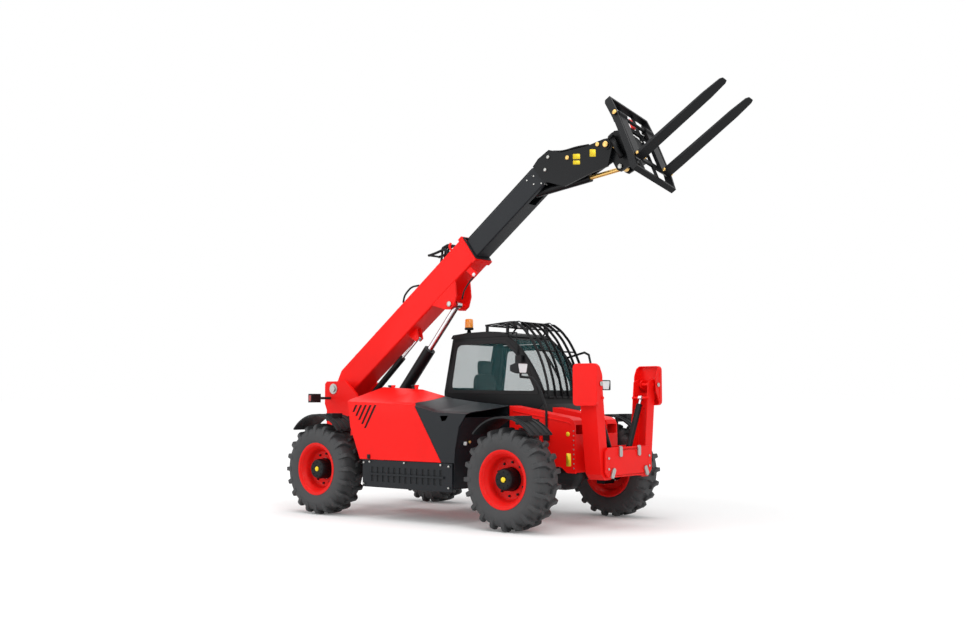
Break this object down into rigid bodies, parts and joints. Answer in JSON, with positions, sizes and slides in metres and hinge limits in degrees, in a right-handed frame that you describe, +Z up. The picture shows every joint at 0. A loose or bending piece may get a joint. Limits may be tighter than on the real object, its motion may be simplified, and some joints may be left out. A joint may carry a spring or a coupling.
{
  "type": "telehandler",
  "caption": "Telescopic handler with a red boom at mid height, pallet forks, four-wheel steering, a caged cab and folded front stabilisers.",
  "frame": {"origin": "on the ground (z = 0), under the middle of the overall length and width, boom half raised and retracted", "axes": "+X forward, towards the forks; +Y left, the cab side; +Z up"},
  "size_m": [6.4714, 2.55, 5.0649],
  "materials": {
    "red_paint": "gloss",
    "charcoal_paint": "satin",
    "black_paint": "satin",
    "black_plastic": "matte",
    "tyre_rubber": "matte",
    "rim_paint": "gloss",
    "chromed_rod": "polished",
    "pin_steel": "satin",
    "glass": "clear",
    "seat_fabric": "matte",
    "lamp_parts": "gloss"
  },
  "bodies": {
    "chassis": {"chassis_frame": "red_paint", "cross_members": "red_paint", "nose": "red_paint", "pins": "pin_steel", "axles": "black_paint", "engine": "black_paint", "engine_bay": "charcoal_paint", "side_panel": "charcoal_paint", "fuel_tank": "charcoal_paint", "stabiliser_beam": "red_paint", "cab_shell": "charcoal_paint", "cab_roof": "black_plastic", "cab_glass": "glass", "screen_guard": "black_paint", "seat_cushion": "seat_fabric", "seat_back": "seat_fabric", "controls": "black_plastic", "lamps": "lamp_parts", "mirrors": "black_plastic"},
    "boom": {"boom_outer": "red_paint"},
    "boom_inner": {"boom_inner": "charcoal_paint", "boom_head": "charcoal_paint", "tilt_barrel": "black_paint"},
    "carriage": {"carriage": "charcoal_paint"},
    "fork_frame": {"fork_frame": "charcoal_paint", "forks": "black_paint"},
    "cab_door": {"cab_door": "charcoal_paint", "door_glass": "glass"},
    "bonnet": {"bonnet_rear": "red_paint", "bonnet_front": "charcoal_paint"},
    "lift_barrel": {"lift_barrel": "black_paint"},
    "lift_rod": {"lift_rod": "chromed_rod"},
    "level_barrel": {"level_barrel": "black_paint"},
    "level_rod": {"level_rod": "chromed_rod"},
    "tilt_rod": {"tilt_rod": "chromed_rod"},
    "knuckle_front_right": {"knuckle_front_right": "black_paint", "mudguard_front_right": "black_plastic"},
    "wheel_front_right": {"tyre_front_right": "tyre_rubber", "rim_front_right": "rim_paint"},
    "knuckle_front_left": {"knuckle_front_left": "black_paint", "mudguard_front_left": "black_plastic"},
    "wheel_front_left": {"tyre_front_left": "tyre_rubber", "rim_front_left": "rim_paint"},
    "knuckle_rear_right": {"knuckle_rear_right": "black_paint", "mudguard_rear_right": "black_plastic"},
    "wheel_rear_right": {"tyre_rear_right": "tyre_rubber", "rim_rear_right": "rim_paint"},
    "knuckle_rear_left": {"knuckle_rear_left": "black_paint", "mudguard_rear_left": "black_plastic"},
    "wheel_rear_left": {"tyre_rear_left": "tyre_rubber", "rim_rear_left": "rim_paint"},
    "stab_leg_right": {"stab_leg_right": "red_paint"},
    "stab_pad_right": {"stab_pad_right": "red_paint"},
    "stab_barrel_right": {"stab_barrel_right": "black_paint"},
    "stab_rod_right": {"stab_rod_right": "chromed_rod"},
    "stab_leg_left": {"stab_leg_left": "red_paint"},
    "stab_pad_left": {"stab_pad_left": "red_paint"},
    "stab_barrel_left": {"stab_barrel_left": "black_paint"},
    "stab_rod_left": {"stab_rod_left": "chromed_rod"}
  },
  "joints": [
    {"name": "boom_lift", "type": "hinge", "parent": "chassis", "child": "boom", "pos_m": [-2.966, -0.04, 1.63], "axis": [0, -1, 0], "range_deg": [-40, 33]},
    {"name": "telescope", "type": "slide", "parent": "boom", "child": "boom_inner", "axis": [0.7986, 0, 0.6018], "range_m": [0, 2.2]},
    {"name": "carriage_tilt", "type": "hinge", "parent": "boom_inner", "child": "carriage", "pos_m": [1.49754, -0.04, 4.48014], "axis": [0, -1, 0], "range_deg": [-65, 25]},
    {"name": "carriage_roll", "type": "hinge", "parent": "carriage", "child": "fork_frame", "pos_m": [1.60388, -0.04, 4.31194], "axis": [0.8453, 0, 0.5344], "range_deg": [0, 38.6]},
    {"name": "steer_front_right", "type": "hinge", "parent": "chassis", "child": "knuckle_front_right", "pos_m": [0.754, -0.935, 0.585], "axis": [0, 0, 1], "range_deg": [-35, 35]},
    {"name": "wheel_front_right", "type": "hinge", "parent": "knuckle_front_right", "child": "wheel_front_right", "pos_m": [0.754, -1.075, 0.585], "axis": [0, 1, 0], "continuous": true},
    {"name": "steer_front_left", "type": "hinge", "parent": "chassis", "child": "knuckle_front_left", "pos_m": [0.754, 0.935, 0.585], "axis": [0, 0, 1], "range_deg": [-35, 35]},
    {"name": "wheel_front_left", "type": "hinge", "parent": "knuckle_front_left", "child": "wheel_front_left", "pos_m": [0.754, 1.075, 0.585], "axis": [0, 1, 0], "continuous": true},
    {"name": "steer_rear_right", "type": "hinge", "parent": "chassis", "child": "knuckle_rear_right", "pos_m": [-2.326, -0.935, 0.585], "axis": [0, 0, 1], "range_deg": [-35, 35]},
    {"name": "wheel_rear_right", "type": "hinge", "parent": "knuckle_rear_right", "child": "wheel_rear_right", "pos_m": [-2.326, -1.075, 0.585], "axis": [0, 1, 0], "continuous": true},
    {"name": "steer_rear_left", "type": "hinge", "parent": "chassis", "child": "knuckle_rear_left", "pos_m": [-2.326, 0.935, 0.585], "axis": [0, 0, 1], "range_deg": [-35, 35]},
    {"name": "wheel_rear_left", "type": "hinge", "parent": "knuckle_rear_left", "child": "wheel_rear_left", "pos_m": [-2.326, 1.075, 0.585], "axis": [0, 1, 0], "continuous": true},
    {"name": "cab_door", "type": "hinge", "parent": "chassis", "child": "cab_door", "pos_m": [-1.248, 1.172, 1.4], "axis": [0, 0, 1], "range_deg": [0, 95]},
    {"name": "bonnet_lift", "type": "hinge", "parent": "chassis", "child": "bonnet", "pos_m": [-1.486, -0.426, 1.66], "axis": [-1, 0, 0], "range_deg": [0, 55]},
    {"name": "lift_barrel", "type": "hinge", "parent": "chassis", "child": "lift_barrel", "pos_m": [-2.581, -0.04, 0.8], "axis": [0, -1, 0], "range_deg": [-35.3, 29.21]},
    {"name": "lift_rod", "type": "slide", "parent": "lift_barrel", "child": "lift_rod", "axis": [0.6473, 0, 0.7622], "range_m": [-0.568, 0.4689]},
    {"name": "level_barrel", "type": "hinge", "parent": "chassis", "child": "level_barrel", "pos_m": [-2.786, -0.04, 1.31], "axis": [0, -1, 0], "range_deg": [-39.1, 32.34]},
    {"name": "level_rod", "type": "slide", "parent": "level_barrel", "child": "level_rod", "axis": [0.7551, 0, 0.6556], "range_m": [-0.242, 0.2]},
    {"name": "tilt_rod", "type": "slide", "parent": "boom_inner", "child": "tilt_rod", "axis": [0.9929, 0, 0.1192], "range_m": [-0.3302, 0.1282]},
    {"name": "stab_leg_right", "type": "hinge", "parent": "chassis", "child": "stab_leg_right", "pos_m": [1.504, -0.36, 0.65], "axis": [1, 0, 0], "range_deg": [0, 107]},
    {"name": "stab_pad_right", "type": "hinge", "parent": "stab_leg_right", "child": "stab_pad_right", "pos_m": [1.504, -0.625, 1.66], "axis": [-1, 0, 0], "range_deg": [0, 35]},
    {"name": "stab_barrel_right", "type": "hinge", "parent": "chassis", "child": "stab_barrel_right", "pos_m": [1.504, -0.2, 0.89], "axis": [1, 0, 0], "range_deg": [-0.5, 101.61]},
    {"name": "stab_rod_right", "type": "slide", "parent": "stab_barrel_right", "child": "stab_rod_right", "axis": [0, -0.4413, 0.8973], "range_m": [-0.002, 0.4674]},
    {"name": "stab_leg_left", "type": "hinge", "parent": "chassis", "child": "stab_leg_left", "pos_m": [1.504, 0.36, 0.65], "axis": [-1, 0, 0], "range_deg": [0, 107]},
    {"name": "stab_pad_left", "type": "hinge", "parent": "stab_leg_left", "child": "stab_pad_left", "pos_m": [1.504, 0.625, 1.66], "axis": [1, 0, 0], "range_deg": [0, 35]},
    {"name": "stab_barrel_left", "type": "hinge", "parent": "chassis", "child": "stab_barrel_left", "pos_m": [1.504, 0.2, 0.89], "axis": [-1, 0, 0], "range_deg": [-0.5, 101.61]},
    {"name": "stab_rod_left", "type": "slide", "parent": "stab_barrel_left", "child": "stab_rod_left", "axis": [0, 0.4413, 0.8973], "range_m": [-0.002, 0.4674]}
  ],
  "couplings": [
    {"joint": "steer_front_left", "follows": "steer_front_right", "ratio": 1},
    {"joint": "steer_rear_left", "follows": "steer_rear_right", "ratio": 1},
    {"joint": "lift_barrel", "follows": "boom_lift", "ratio": 0.87},
    {"joint": "lift_rod", "follows": "boom_lift", "m_per_rad": 0.8107},
    {"joint": "level_barrel", "follows": "boom_lift", "ratio": 0.965},
    {"joint": "level_rod", "follows": "boom_lift", "m_per_rad": 0.3438},
    {"joint": "tilt_rod", "follows": "carriage_tilt", "m_per_rad": 0.2893},
    {"joint": "stab_barrel_right", "follows": "stab_leg_right", "ratio": 0.945},
    {"joint": "stab_rod_right", "follows": "stab_leg_right", "m_per_rad": 0.2492},
    {"joint": "stab_barrel_left", "follows": "stab_leg_left", "ratio": 0.945},
    {"joint": "stab_rod_left", "follows": "stab_leg_left", "m_per_rad": 0.2492}
  ]
}
